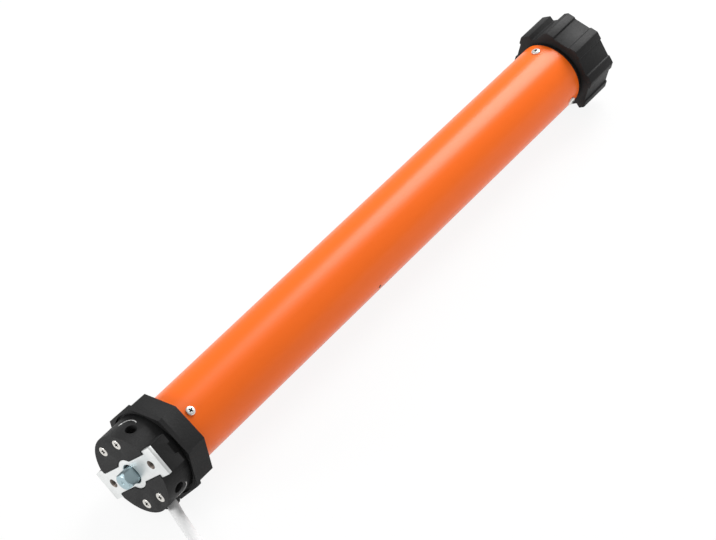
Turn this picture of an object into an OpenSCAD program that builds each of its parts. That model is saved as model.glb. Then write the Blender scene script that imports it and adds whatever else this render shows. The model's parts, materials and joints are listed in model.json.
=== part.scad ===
// Tubular roller blind motor: round head with a mounting pin, idler crown, motor tube with
// capacitor, motor, brake and planetary gearbox inside, drive wheel and mains cable.
// The motor axis runs along X, from the head to the drive wheel. The motor lies on Z = 0.

/* [Tube] */
// Outer diameter of the motor tube
tube_d = 45; // [38:0.5:60]
// Wall of the motor tube
tube_wall = 1; // [0.6:0.1:1.5]
// Length of the motor tube
tube_len = 383.4; // [325:0.1:700]
// Distance of the fixing screws from each tube end
tube_screw_inset = 7.8; // [6:0.1:12]
// Height of a fixing screw's pan head
pan_head_h = 1.3; // [0.8:0.1:2]

/* [Head] */
// Length of the head from its face to the crown
head_len = 20.5; // [18:0.1:28]
// How far the head stands out past the collar that the crown runs on
head_lip = 2.55; // [2:0.05:5]
// How far the collar stands out past the tube
collar_step = 1.7; // [1.2:0.1:4]
// Thickness of the face cover
cover_t = 5; // [4.5:0.1:6]
// Length of the spigot inside the tube
spigot_len = 17; // [14:0.5:25]
// Wall of the spigot
head_wall = 2.2; // [1.8:0.1:3]
// Distance of the face screws from the axis
face_screw_r = 20.9; // [18:0.1:22]
// Distance of the limit adjusters behind the face
adjuster_x = 9; // [8:0.1:11]
// Diameter of an adjuster's access hole
adjuster_hole_d = 7; // [6.4:0.1:8]

/* [Mounting plate] */
// Length of the plate
plate_len = 67; // [62:0.5:80]
// Width of the plate's ends
plate_end_w = 18.8; // [16:0.1:22]
// Length of each wide end
plate_end_len = 8.6; // [6:0.1:9]
// Width of the plate between the ends
plate_arm_w = 14.4; // [13.2:0.1:16]
// Diameter of the lobe around the pin
plate_lobe_d = 19.8; // [17:0.1:22]
// Thickness of the plate
plate_t = 2.5; // [1.5:0.1:3]
// How deep the plate lies under the face
plate_sink = 0.4; // [0:0.1:1]
// Distance between the two tapped holes
bracket_hole_pitch = 48; // [44:0.5:50]
// Diameter of the tapped holes
bracket_hole_d = 5; // [4:0.1:6]

/* [Mounting pin] */
// Diameter of the bar that the pin is cut from
pin_d = 12; // [10:0.1:13]
// Size across the pin's flats
pin_flats = 9.5; // [8:0.1:10]
// How far the pin stands out of the face
pin_out = 7.6; // [5:0.1:15]

/* [Crown] */
// Length of the crown
crown_len = 15.3; // [14.5:0.1:20]
// Length of the crown's front lip
crown_lip_len = 3; // [2:0.1:4]
// Wall of the front lip at the flats
crown_lip_wall = 1.4; // [1:0.1:3]
// Wall of the crown over its bore at the flats
crown_wall = 3.9; // [3.4:0.1:6]

/* [Drive wheel] */
// Size across the octagon of the drive wheel
wheel_af = 56.2; // [48:0.1:64]
// Length of the drive wheel
wheel_len = 25.5; // [20:0.1:36]
// How deep the middle of each flat is sunk between the corner lobes
wheel_flat_sink = 1; // [0.4:0.1:1.5]
// Width of the sunk part of a flat
wheel_flat_w = 11.6; // [8:0.1:14]
// Depth of the notch that clears a tube's seam
wheel_notch_depth = 3.4; // [1:0.1:4]

/* [Gear train] */
// Teeth on each sun gear
sun_teeth = 12; // [12:3:15]
// Teeth on each planet gear
planet_teeth = 18; // [18:3:21]
// Wall of the gearbox outside the ring gear's teeth
gear_wall = 2.3; // [1.5:0.1:4]
// Diameter of the output shaft
output_d = 16; // [12:0.5:18]

/* [Motor] */
// Diameter of the rotor shaft
rotor_shaft_d = 8; // [6:0.5:9]
// Diameter of the stator's bore
stator_bore_d = 24; // [20:0.5:25]
// Length of the capacitor
capacitor_len = 70; // [40:1:80]
// Travel of the brake's armature
brake_travel = 0.5; // [0.3:0.1:0.8]

/* [Cable] */
// Diameter of the cable
cable_d = 7; // [6:0.1:8]

/* [Hidden] */
$fn = 64;

// Clearances: a running fit, a fit that is put together and left, and an open gap
run_gap = 0.05;
seat_gap = 0.02;
slip = 0.2;
open_gap = 0.3;
thread_gap = 0.1;
// How far a cut runs past the face that it opens
cut = 1;

// Radii that follow from the tube
tube_r = tube_d / 2;
core_r = tube_r - tube_wall - slip;
collar_r = tube_r + collar_step;
head_r = collar_r + head_lip;
cavity_r = core_r - head_wall;

// Places along the axis, measured from the head's face
plate_back = plate_sink + plate_t;
cavity_x = cover_t + 9;
crown_overlap = 1.5;
crown_axial_gap = 0.4;
crown_x = head_len - crown_overlap;
tube_x = crown_x + crown_len + open_gap;
spigot_end = tube_x + spigot_len;
tube_end = tube_x + tube_len;
cap_flange_t = 2;
wheel_gap = 1;
wheel_x = tube_end + cap_flange_t + wheel_gap;
wheel_end = wheel_x + wheel_len;
cap_depth = 24;
gearbox_end = tube_end - cap_depth;

// Gears: the module follows from the gearbox's bore
ring_teeth = sun_teeth + 2 * planet_teeth;
tooth_add = 0.8;
tooth_ded = 1.15;
root_width = 0.53;
tip_width = 0.21;
mesh_gap = 0.18;
gear_m = (core_r - gear_wall) / (ring_teeth / 2 + tooth_ded);
orbit_r = gear_m * (sun_teeth + planet_teeth) / 2;
carrier_r = gear_m * (ring_teeth / 2 - tooth_add) - 0.8;
planet_pin_r = 2.5;
planet_w = [16, 18, 24];
carrier_t = 4;
stage_gap = 1;
gearbox_wall_t = 4;
function stage_len(i) = planet_w[i] + carrier_t + 2 * stage_gap;
gearbox_x = gearbox_end - gearbox_wall_t - stage_len(0) - stage_len(1) - stage_len(2);
function stage_x(i) = i == 0 ? gearbox_x + gearbox_wall_t + stage_gap : stage_x(i - 1) + stage_len(i - 1);
function carrier_x(i) = stage_x(i) + planet_w[i] + stage_gap;

// Motor, brake and capacitor
brake_len = 40;
bell_len = 15;
bell_disc_t = 5;
bell_rim_t = 1.5;
bell_lip = 1;
bearing_w = 7;
bearing_r = 9;
bearing_boss_t = 2.6;
shaft_room = 1;
shaft_r = rotor_shaft_d / 2;
capacitor_r = 15.5 * core_r / 21.3;
capacitor_neck = 4;
wiring_room = 8;
capacitor_x = spigot_end + wiring_room;
motor_x = capacitor_x + capacitor_len + wiring_room;
motor_end = gearbox_x - brake_len;
stator_x = motor_x + bell_len;
stator_end = motor_end - bell_len;
harness_r = 1.8;
harness_inset = 1.5;
harness_z = core_r - 2.9;
air_gap = 0.4;
rotor_inset = 1;
coil_len = 16;
brake_gap = 0.1;
armature_t = 4;
coil_x = motor_end + seat_gap;
armature_x = coil_x + coil_len + brake_travel + brake_gap;
disc_x = armature_x + armature_t + brake_gap;
disc_t = 4;
back_plate_x = disc_x + disc_t + brake_gap;
back_plate_t = 6;
brake_room = 3;
guide_pin_r = 1.5;
guide_circle_r = core_r - 2.5;

// Turns about the axis, from straight up, by the right-hand rule about +X
plate_turn = 51;
adjuster_spread = 52;
face_screw_turns = [66, 114, 246, 294];
head_screw_turn = 35;
drive_screw_turn = -5;
rivet_turn = 113;
pinion_turn = 230;
// Turn of each notch, and its outline's stations along the flat: top, floor, floor, top
notches = [[-22.5, [-10.8, -0.1, 3.75, 4.8]], [157.5, [-10.8, -0.1, 6.9, 7.3]]];
notch_over = 1;

// Drive wheel details
octagon_half = 22.5;
wheel_crest_r = wheel_af / 2 / cos(octagon_half);
flat_draft = 0.5;
wheel_web_t = 8;
wheel_rim_t = 5.4;
wheel_hub_r = output_d / 2 + 5;
wheel_recess = 8;
wheel_rib_t = 2;
output_flats = output_d - 3;
washer_t = 1.5;
washer_inset = 1.5;
wheel_screw_r = 2.5;
wheel_screw_head_r = 4.6;
wheel_screw_head_h = 3.5;
wheel_screw_grip = 10;
wheel_thread_depth = 12;

// Crown details
crown_recess_r = head_r + 1.6;
crown_bore_r = collar_r + 2 * run_gap;
crown_teeth = 63;
pinion_teeth = 12;
crown_m = (collar_r + 0.36) / (crown_teeth / 2 - tooth_add);
pinion_orbit_r = crown_m * (crown_teeth - pinion_teeth) / 2;
pinion_shaft_r = 1;
pinion_w = 4;
pinion_front = 4.5;
pinion_rear = 0.8;
pinion_x = tube_x - pinion_w - pinion_rear - 0.5;

// Pin details
pin_r = pin_d / 2;
pin_flange_r = pin_r + 2.9;
pin_flange_t = 3.9;
pin_tip_len = 1.8;
pin_tip_r = 4.6;
pin_hole_gap = 0.5;
centre_mark_r = 1.2;

// Screw details
face_screw_len = 7;
face_head_r = 3.1;
face_head_h = 1.6;
thread_r = 1.5;
pan_head_r = 2.9;
recess_w = 0.8;
recess_len = 3.2;
recess_depth = 0.7;

// Adjuster details
adjuster_r = adjuster_hole_d / 2;
adjuster_top = 3.6;
adjuster_head_t = 3.2;
adjuster_shaft_r = 2.4;
adjuster_shaft_len = 6.5;
hex_af = 4;
hex_depth = 2.4;

// The part's own frame: the middle of its length, on the axis, and the surface that it lies on
axis_h = wheel_crest_r;
mid_x = (wheel_end - pin_out) / 2;

// Cable route on the surface that the motor lies on: out of the head, down and along to the coil.
// X counts from a point that lies this far behind the head's face
route_datum = 219.45;
cable_r = cable_d / 2;
cable_route = [
  [-204.9, -3.9, 13.3], [-209.1, -12.5, 10.3], [-211.2, -16.8, 8.8], [-215.4, -25.4, 5.8],
  [-218.3, -32, 4.4], [-221.6, -39, 3.6], [-226, -48, 3.5], [-232.4, -57.7, 3.5], [-240.8, -65.7, 3.5],
  [-250.8, -71.6, 3.5], [-261.9, -75.1, 3.5], [-272, -76, 3.6], [-288, -76, 4.1]
];
exit_at = cable_route[2];
exit_way = cable_route[3] - cable_route[1];
grommet_r = cable_r + 1.7;
grommet_tip_r = cable_r + 1;
grommet_in = 18;
grommet_bore_in = 24;

// Coil: it spirals in on the surface, climbs a layer where the spiral turns back, and spirals out
coil_centre = [-316, -24.5];
coil_turns = 6;
coil_start = -90;
coil_in_r = 29;
coil_pitch = cable_d + 0.5;
coil_z = cable_r + 0.9;
loop_rings = 24;
lead_len = cable_d;
tail_len = 56;
tail_rings = 8;
core_len = 36;
core_r_out = 1.15;
core_seat = 1.5;
ferrule_r = 1;
ferrule_len = 8;
tie_t = 0.8;
tie_w = 5;
tie_gap = 0.4;
tie_turn = coil_start;

// Shapes that repeat

// Puts a shape drawn along Z on the motor's axis, with its own Y pointing up
module along_x(x = 0) {
  translate([x, 0, 0]) rotate([90, 0, 90]) children();
}

// Turns a shape that points up about the motor's axis
module turned(angle) {
  rotate([angle, 0, 0]) children();
}

// A disc or tube on the motor's axis
module ring(x, length, outer, inner = 0) {
  along_x(x) difference() {
    cylinder(r = outer, h = length);
    if (inner > 0) translate([0, 0, -cut]) cylinder(r = inner, h = length + 2 * cut);
  }
}

// Puts the motor in the part's frame
module placed() {
  translate([-mid_x, 0, axis_h]) children();
}

// Puts the cable and what goes with it beside the head
module laid() {
  translate([route_datum - mid_x, 0, 0]) children();
}

function polar(r, a) = [r * cos(a), r * sin(a)];
function tooth(r, width, a) = polar(r, a + asin(width / 2 / r));

// Outline of a spur gear, with a tooth on the outline's X axis. Widened, it is the space in a ring gear.
module gear_outline(teeth, m, inward, outward, widened = 0) {
  pitch = PI * m;
  root_r = m * (teeth / 2 - inward);
  tip_r = m * (teeth / 2 + outward);
  root_w = (root_width + widened) * pitch;
  tip_w = (tip_width + widened) * pitch;
  polygon([for (i = [0:teeth - 1], k = [0:3]) let (a = 360 * i / teeth)
    k == 0 ? tooth(root_r, -root_w, a) : k == 1 ? tooth(tip_r, -tip_w, a)
    : k == 2 ? tooth(tip_r, tip_w, a) : tooth(root_r, root_w, a)]);
}

module octagon(across_flats) {
  circle(r = across_flats / 2 / cos(octagon_half), $fn = 8);
}

// A cross recess cut down from Z = 0
module cross_recess() {
  for (a = [0, 90]) rotate([0, 0, a]) translate([-recess_len / 2, -recess_w / 2, -recess_depth])
    cube([recess_len, recess_w, recess_depth + cut]);
}

// A pan-head screw in the tube wall, pointing up, with its seat on the tube
module tube_screw() {
  difference() {
    union() {
      translate([0, 0, tube_r + seat_gap]) cylinder(r = pan_head_r, h = pan_head_h * 0.55);
      translate([0, 0, tube_r + seat_gap + pan_head_h * 0.55])
        cylinder(r1 = pan_head_r, r2 = pan_head_r - pan_head_h * 0.6, h = pan_head_h * 0.45);
      translate([0, 0, cavity_r + open_gap]) cylinder(r = thread_r, h = tube_r - cavity_r);
    }
    translate([0, 0, tube_r + seat_gap + pan_head_h]) cross_recess();
  }
}

module tube_screws(x, turn) {
  for (i = [0:2]) translate([x, 0, 0]) turned(turn + 120 * i) tube_screw();
}

module tube_screw_holes(x, turn) {
  for (i = [0:2]) translate([x, 0, 0]) turned(turn + 120 * i)
    cylinder(r = thread_r + thread_gap, h = tube_r + cut);
}

// Tubes swept along points

up_way = [0, 0, 1];
function unit(v) = v / norm(v);
function heading(p, i) = unit(p[min(i + 1, len(p) - 1)] - p[max(i - 1, 0)]);
function sideways(p, i) = unit(cross(up_way, heading(p, i)));
function swept_ring(p, i, r, sides) = [for (k = [0:sides - 1])
  p[i] + r * (cos(360 * k / sides) * sideways(p, i)
    + sin(360 * k / sides) * cross(heading(p, i), sideways(p, i)))];

module swept_tube(p, r, sides) {
  last = len(p) - 1;
  points = concat([for (i = [0:last]) each swept_ring(p, i, r, sides)], [p[0], p[last]]);
  first_centre = (last + 1) * sides;
  faces = concat(
    [for (i = [0:last - 1], k = [0:sides - 1]) let (a = i * sides, n = (k + 1) % sides)
      each [[a + k, a + sides + k, a + n], [a + n, a + sides + k, a + sides + n]]],
    [for (k = [0:sides - 1]) [first_centre, k, (k + 1) % sides]],
    [for (k = [0:sides - 1]) [first_centre + 1, last * sides + (k + 1) % sides, last * sides + k]]);
  polyhedron(points = points, faces = faces);
}

// Head

module head_housing() {
  color("#1c1c1d") difference() {
    union() {
      ring(cover_t, head_len - cover_t, head_r);
      ring(head_len - seat_gap, tube_x - head_len + seat_gap, collar_r);
      ring(tube_x - seat_gap, spigot_len + seat_gap, core_r);
      ears();
    }
    ring(cavity_x, spigot_end - cavity_x + cut, cavity_r);
    ring(cover_t - cut, pin_flange_t + cut + thread_gap, pin_flange_r + thread_gap);
    for (side = [-1, 1]) adjuster_bore(plate_turn + side * adjuster_spread);
    for (a = face_screw_turns) turned(plate_turn + a) translate([cover_t - cut, 0, face_screw_r])
      rotate([0, 90, 0]) cylinder(r = thread_r + thread_gap, h = face_screw_len - cover_t + cut + thread_gap);
    for (a = [0, 180]) turned(plate_turn + a) translate([0, 0, bracket_hole_pitch / 2])
      rotate([0, 90, 0]) cylinder(r = bracket_hole_d / 2 + screw_room, h = ear_back - ear_floor);
    tube_screw_holes(tube_x + tube_screw_inset, head_screw_turn);
    pinion_seat();
    translate([route_datum, 0, -axis_h]) grommet_bore();
  }
}

// Two square ears carry the ends of the mounting plate
ear_back = 13.4;
ear_floor = 2;
screw_room = 0.3;
ear_notch_w = 7.6;
ear_notch_depth = 1.9;
ear_notch_height = 5;
module ears() {
  for (a = [0, 180]) turned(plate_turn + a) difference() {
    translate([plate_back, -plate_end_w / 2, cavity_r])
      cube([ear_back - plate_back, plate_end_w, plate_len / 2 - cavity_r]);
    ring(0, cover_t + open_gap, head_r + slip);
    translate([ear_back - ear_notch_depth, -ear_notch_w / 2, plate_len / 2 - ear_notch_height])
      cube([ear_notch_depth + cut, ear_notch_w, ear_notch_height + cut]);
  }
}

module adjuster_bore(turn) {
  translate([adjuster_x, 0, 0]) turned(turn) {
    translate([0, 0, head_r - adjuster_top - adjuster_head_t]) cylinder(r = adjuster_r, h = head_r);
    translate([0, 0, head_r - adjuster_top - adjuster_head_t - adjuster_shaft_len - open_gap])
      cylinder(r = adjuster_shaft_r + run_gap, h = head_r);
  }
}

module pinion_seat() {
  turned(pinion_turn) translate([0, 0, pinion_orbit_r]) rotate([0, 90, 0]) {
    translate([0, 0, pinion_x - open_gap])
      cylinder(r = crown_m * (pinion_teeth / 2 + tooth_add) + open_gap, h = pinion_w + 2 * open_gap);
    translate([0, 0, pinion_x - pinion_front - open_gap])
      cylinder(r = pinion_shaft_r + run_gap, h = pinion_w + pinion_front + pinion_rear + 2 * open_gap);
  }
}

module plate_outline(extra = 0) {
  circle(d = plate_lobe_d + 2 * extra);
  square([plate_arm_w + 2 * extra, plate_len + 2 * extra], center = true);
  for (s = [-1, 1]) translate([0, s * (plate_len - plate_end_len) / 2])
    square([plate_end_w + 2 * extra, plate_end_len + 2 * extra], center = true);
}

module head_cover() {
  color("#1c1c1d") difference() {
    ring(0, cover_t - seat_gap, head_r);
    turned(plate_turn) along_x(-cut) linear_extrude(plate_back + cut + seat_gap) plate_outline(open_gap);
    ring(0, cover_t + cut, pin_r + open_gap);
    for (a = [0, 180]) turned(plate_turn + a) translate([0, 0, bracket_hole_pitch / 2])
      rotate([0, 90, 0]) cylinder(r = bracket_hole_d / 2 + screw_room, h = cover_t + cut);
    for (a = face_screw_turns) turned(plate_turn + a) translate([-seat_gap, 0, face_screw_r])
      rotate([0, 90, 0]) {
        cylinder(r1 = face_head_r + thread_gap, r2 = thread_r + thread_gap, h = face_head_h);
        cylinder(r = thread_r + thread_gap, h = cover_t + cut);
      }
    translate([route_datum, 0, -axis_h]) grommet_bore();
  }
}

module mounting_plate() {
  color("#c9d2d6") turned(plate_turn) along_x(plate_sink) difference() {
    linear_extrude(plate_t) plate_outline();
    translate([0, 0, -cut]) cylinder(r = pin_r + pin_hole_gap, h = plate_t + 2 * cut);
    for (s = [-1, 1]) translate([0, s * bracket_hole_pitch / 2, -cut])
      cylinder(d = bracket_hole_d, h = plate_t + 2 * cut);
  }
}

module mounting_pin() {
  color("#8d9ba3") {
    difference() {
      intersection() {
        along_x() {
          translate([0, 0, -pin_out]) cylinder(r1 = pin_tip_r, r2 = pin_r, h = pin_tip_len);
          translate([0, 0, pin_tip_len - pin_out])
            cylinder(r = pin_r, h = cover_t + pin_out - pin_tip_len + cut);
        }
        turned(plate_turn) translate([-pin_out - cut, -pin_flats / 2, -pin_flats / 2])
          cube([pin_out + cover_t + 2 * cut, pin_flats, pin_flats]);
      }
      along_x(-pin_out - seat_gap) cylinder(r1 = centre_mark_r, r2 = 0.3, h = centre_mark_r);
    }
    ring(cover_t, pin_flange_t, pin_flange_r);
  }
}

module face_screws() {
  color("#b9b6ae") for (a = face_screw_turns) turned(plate_turn + a) translate([0, 0, face_screw_r])
    rotate([0, 90, 0]) difference() {
      union() {
        cylinder(r1 = face_head_r, r2 = thread_r, h = face_head_h);
        cylinder(r = thread_r, h = face_screw_len);
      }
      rotate([180, 0, 30]) cross_recess();
    }
}

module limit_adjuster(side) {
  top = head_r - adjuster_top;
  color("#2a2a2c") translate([adjuster_x, 0, 0]) turned(plate_turn + side * adjuster_spread) difference() {
    union() {
      translate([0, 0, top - adjuster_head_t + run_gap])
        cylinder(r = adjuster_r - run_gap, h = adjuster_head_t - run_gap);
      translate([0, 0, top - adjuster_head_t - adjuster_shaft_len])
        cylinder(r = adjuster_shaft_r, h = adjuster_shaft_len + cut);
    }
    translate([0, 0, top - hex_depth]) cylinder(r = hex_af / 2 / cos(30), h = hex_depth + cut, $fn = 6);
  }
}

module limit_pinion() {
  color("#e8e4d8") turned(pinion_turn) translate([0, 0, pinion_orbit_r]) along_x(pinion_x) {
    linear_extrude(pinion_w) rotate([0, 0, 90]) gear_outline(pinion_teeth, crown_m, tooth_ded, tooth_add);
    translate([0, 0, -pinion_front]) cylinder(r = pinion_shaft_r, h = pinion_w + pinion_front + pinion_rear);
  }
}

switch_size = [20, 6.4, 10];
switch_x = cavity_x + 6;
switch_pitch = 9;
switch_floor = 2;
switch_margin = 4;
switch_base_t = 6;
plunger_size = [3, 2, 1.2];
plunger_x = 14;
module limit_switch_frame() {
  color("#d9d6cc") difference() {
    intersection() {
      ring(switch_x - switch_margin, switch_size[0] + 2 * switch_margin, cavity_r - open_gap);
      translate([0, -cavity_r, switch_floor - switch_base_t]) cube([spigot_end, 2 * cavity_r, cavity_r]);
    }
    for (s = [-1, 1])
      translate([switch_x - slip, s * switch_pitch / 2 - switch_size[1] / 2 - slip, switch_floor])
      cube([switch_size[0] + 2 * slip, switch_size[1] + 2 * slip, 2 * cavity_r]);
  }
}

module microswitches() {
  color("#26262a") for (s = [-1, 1]) {
    translate([switch_x, s * switch_pitch / 2 - switch_size[1] / 2, switch_floor]) cube(switch_size);
    translate([switch_x + plunger_x, s * switch_pitch / 2 - plunger_size[1] / 2,
      switch_floor + switch_size[2]])
      cube(plunger_size);
  }
}

// Crown

module crown() {
  along_lip = crown_recess_r + crown_lip_wall;
  color("#1f1f20") difference() {
    union() {
      along_x(crown_x) linear_extrude(crown_lip_len) rotate([0, 0, octagon_half]) octagon(2 * along_lip);
      along_x(crown_x) linear_extrude(crown_len)
        rotate([0, 0, octagon_half]) octagon(2 * (crown_bore_r + crown_wall));
    }
    ring(crown_x - cut, head_len + crown_axial_gap - crown_x + cut, crown_recess_r);
    ring(crown_x, crown_len + cut, crown_bore_r);
    turned(pinion_turn) along_x(pinion_x - open_gap) linear_extrude(crown_len)
      rotate([0, 0, 90]) gear_outline(crown_teeth, crown_m, tooth_add, tooth_ded, mesh_gap);
  }
}

// Tube and what is fixed to it

module motor_tube() {
  color("#e8742c") difference() {
    ring(tube_x, tube_len, tube_r, tube_r - tube_wall);
    tube_screw_holes(tube_x + tube_screw_inset, head_screw_turn);
    tube_screw_holes(tube_end - tube_screw_inset, drive_screw_turn);
    translate([rivet_x, 0, 0]) turned(rivet_turn) cylinder(r = rivet_r + run_gap, h = tube_r + cut);
  }
}

module head_end_screws() {
  color("#d5d5d2") tube_screws(tube_x + tube_screw_inset, head_screw_turn);
}

module drive_end_screws() {
  color("#d5d5d2") tube_screws(tube_end - tube_screw_inset, drive_screw_turn);
}

rivet_back = 2.8;
rivet_x = (stator_x + stator_end) / 2 - rivet_back;
rivet_r = 1.1;
rivet_proud = 0.15;
module stator_rivet() {
  color("#4a3021") translate([rivet_x, 0, 0]) turned(rivet_turn)
    translate([0, 0, core_r + run_gap]) cylinder(r = rivet_r, h = tube_r - core_r - run_gap + rivet_proud);
}

// Capacitor and wiring

module capacitor() {
  color("#9a9da0") {
    ring(capacitor_x, capacitor_len - capacitor_neck, capacitor_r);
    ring(capacitor_x + capacitor_len - capacitor_neck, capacitor_neck, capacitor_r - capacitor_neck / 2);
  }
}

cradle_inset = 8;
module capacitor_cradle() {
  color("#3b3f42") difference() {
    ring(capacitor_x + cradle_inset, capacitor_len - 2 * cradle_inset, core_r, capacitor_r + slip);
    translate([capacitor_x, -harness_r - open_gap, -core_r - cut])
      cube([capacitor_len, 2 * (harness_r + open_gap), core_r]);
  }
}

module wiring_harness() {
  harness_x = spigot_end + harness_inset;
  color("#2d5aa0") translate([0, 0, -harness_z])
    ring(harness_x, motor_x + bell_disc_t - harness_x, harness_r);
}

// Motor

module motor_bell(x, facing) {
  color("#a8abad") translate([x, 0, 0]) mirror([facing < 0 ? 1 : 0, 0, 0]) difference() {
    union() {
      ring(0, bell_disc_t, core_r, bearing_r + seat_gap);
      ring(0, bell_len - seat_gap, core_r, core_r - bell_rim_t);
      ring(0, bearing_w + bell_lip, bearing_r + bearing_boss_t, bearing_r + seat_gap);
      ring(0, bell_lip, bearing_r + bell_lip, shaft_r + shaft_room);
    }
    translate([-cut, 0, -harness_z]) rotate([0, 90, 0])
      cylinder(r = harness_r + open_gap, h = bell_disc_t + 2 * cut);
  }
}

module motor_bell_head() { motor_bell(motor_x, 1); }

module motor_bell_drive() { motor_bell(motor_end, -1); }

module bearing(x) {
  color("#c7cacc") ring(x, bearing_w, bearing_r, shaft_r + run_gap);
}

module bearing_head() { bearing(motor_x + bell_lip + seat_gap); }

module bearing_drive() { bearing(motor_end - bell_lip - seat_gap - bearing_w); }

stator_slots = 12;
slot_size = [2.4, 5];
slot_inset = 1;
module stator_core() {
  color("#6f7276") difference() {
    ring(stator_x, stator_end - stator_x, core_r, stator_bore_d / 2);
    for (i = [0:stator_slots - 1]) turned((i + 0.5) * 360 / stator_slots)
      translate([stator_x - cut, -slot_size[0] / 2, stator_bore_d / 2 + slot_inset])
        cube([stator_end - stator_x + 2 * cut, slot_size[0], slot_size[1]]);
  }
}

winding_gap = 0.5;
module winding(x) {
  color("#b0622b") ring(x, bell_len - bell_disc_t - winding_gap - seat_gap,
    core_r - bell_rim_t - winding_gap, bearing_r + bearing_boss_t + winding_gap);
}

module winding_head() { winding(motor_x + bell_disc_t + winding_gap); }

module winding_drive() { winding(stator_end + seat_gap); }

module rotor_core() {
  color("#84878b") ring(stator_x + rotor_inset, stator_end - stator_x - 2 * rotor_inset,
    stator_bore_d / 2 - air_gap, shaft_r + seat_gap);
}

module rotor_shaft() {
  color("#b5b8ba") {
    ring(motor_x + bell_lip, stage_x(0) - stage_gap / 2 - motor_x - bell_lip, shaft_r);
    sun_gear(stage_x(0) - stage_gap, planet_w[0] + stage_gap);
  }
}

// Brake

module brake_coil() {
  color("#a5622f") {
    ring(coil_x, coil_len, core_r, shaft_r + brake_room);
    for (i = [0:2]) turned(120 * i) translate([coil_x + coil_len - cut, 0, guide_circle_r])
      rotate([0, 90, 0]) cylinder(r = guide_pin_r, h = cut + brake_travel + brake_gap + armature_t);
  }
}

module brake_armature() {
  color("#8e9194") difference() {
    ring(armature_x, armature_t, core_r - 2 * open_gap, shaft_r + brake_room);
    for (i = [0:2]) turned(120 * i) translate([armature_x - cut, 0, guide_circle_r])
      rotate([0, 90, 0]) cylinder(r = guide_pin_r + run_gap, h = armature_t + 2 * cut);
  }
}

module brake_disc() {
  color("#4d463f") ring(disc_x, disc_t, guide_circle_r - guide_pin_r - shaft_room, shaft_r + seat_gap);
}

module brake_back_plate() {
  color("#8e9194") ring(back_plate_x, back_plate_t, core_r, shaft_r + shaft_room);
}

// Gearbox

module sun_gear(x, length) {
  sun_turn = planet_teeth % 2 == 0 ? 180 / sun_teeth : 0;
  along_x(x) linear_extrude(length) rotate([0, 0, 90 + sun_turn])
    gear_outline(sun_teeth, gear_m, tooth_ded, tooth_add);
}

module gearbox_housing() {
  color("#33363a") difference() {
    ring(gearbox_x, gearbox_end - gearbox_x - seat_gap, core_r);
    ring(gearbox_x - cut, gearbox_wall_t + 2 * cut, shaft_r + shaft_room);
    along_x(gearbox_x + gearbox_wall_t) linear_extrude(gearbox_end - gearbox_x) rotate([0, 0, 90])
      gear_outline(ring_teeth, gear_m, tooth_add, tooth_ded, mesh_gap);
  }
}

module planet(stage, turn) {
  color("#ded9c9") turned(turn) translate([0, 0, orbit_r]) along_x(stage_x(stage)) difference() {
    linear_extrude(planet_w[stage]) rotate([0, 0, 90])
      gear_outline(planet_teeth, gear_m, tooth_ded, tooth_add);
    translate([0, 0, -cut]) cylinder(r = planet_pin_r + run_gap, h = planet_w[stage] + 2 * cut);
  }
}

module planet_carrier(stage) {
  ring(carrier_x(stage), carrier_t, carrier_r);
  for (i = [0:2]) turned(120 * i) translate([stage_x(stage), 0, orbit_r]) rotate([0, 90, 0])
    cylinder(r = planet_pin_r, h = planet_w[stage] + stage_gap + cut);
}

module carrier(stage) {
  color("#9c9fa3") {
    planet_carrier(stage);
    sun_gear(carrier_x(stage) + carrier_t - cut, stage_gap + cut + planet_w[stage + 1]);
  }
}

module output_shaft() {
  shaft_end = wheel_end - wheel_recess;
  color("#9c9fa3") {
    planet_carrier(2);
    difference() {
      ring(carrier_x(2) + carrier_t - cut, shaft_end - carrier_x(2) - carrier_t + cut, output_d / 2);
      for (a = [0, 180]) turned(a) translate([wheel_x, -output_d, output_flats / 2])
        cube([wheel_len, 2 * output_d, output_d]);
      ring(shaft_end - wheel_thread_depth, wheel_thread_depth + cut, wheel_screw_r + thread_gap);
    }
  }
}

bush_inset = 2;
bush_wall = 4.5;
module output_bearing() {
  color("#b08a3c") ring(gearbox_end + bush_inset, cap_depth - 2 * bush_inset,
    output_d / 2 + bush_wall, output_d / 2 + run_gap);
}

module gearbox_end_cap() {
  color("#1d1d1e") difference() {
    union() {
      ring(gearbox_end, cap_depth + cut, core_r);
      ring(tube_end + seat_gap, cap_flange_t - seat_gap, tube_r - open_gap);
    }
    ring(gearbox_end + bush_inset - seat_gap, cap_depth - 2 * bush_inset + 2 * seat_gap,
      output_d / 2 + bush_wall + seat_gap);
    ring(gearbox_end - cut, cap_depth + cap_flange_t + 2 * cut, output_d / 2 + shaft_room);
    tube_screw_holes(tube_end - tube_screw_inset, drive_screw_turn);
  }
}

// Drive wheel

module wheel_notch(at) {
  top = wheel_af / 2 + notch_over;
  floor = wheel_af / 2 - wheel_notch_depth;
  polygon([[at[0], top], [at[1], floor], [at[2], floor], [at[3], top]]);
}

module sunk_flat() {
  top = wheel_af / 2 + cut;
  floor = wheel_af / 2 - wheel_flat_sink;
  half = wheel_flat_w / 2;
  polygon([[-half - flat_draft, top], [-half, floor], [half, floor], [half + flat_draft, top]]);
}

module wheel_outline() {
  difference() {
    octagon(wheel_af);
    for (i = [0:7]) rotate([0, 0, 45 * i + octagon_half]) sunk_flat();
    for (n = notches) rotate([0, 0, n[0]]) wheel_notch(n[1]);
  }
}

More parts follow.
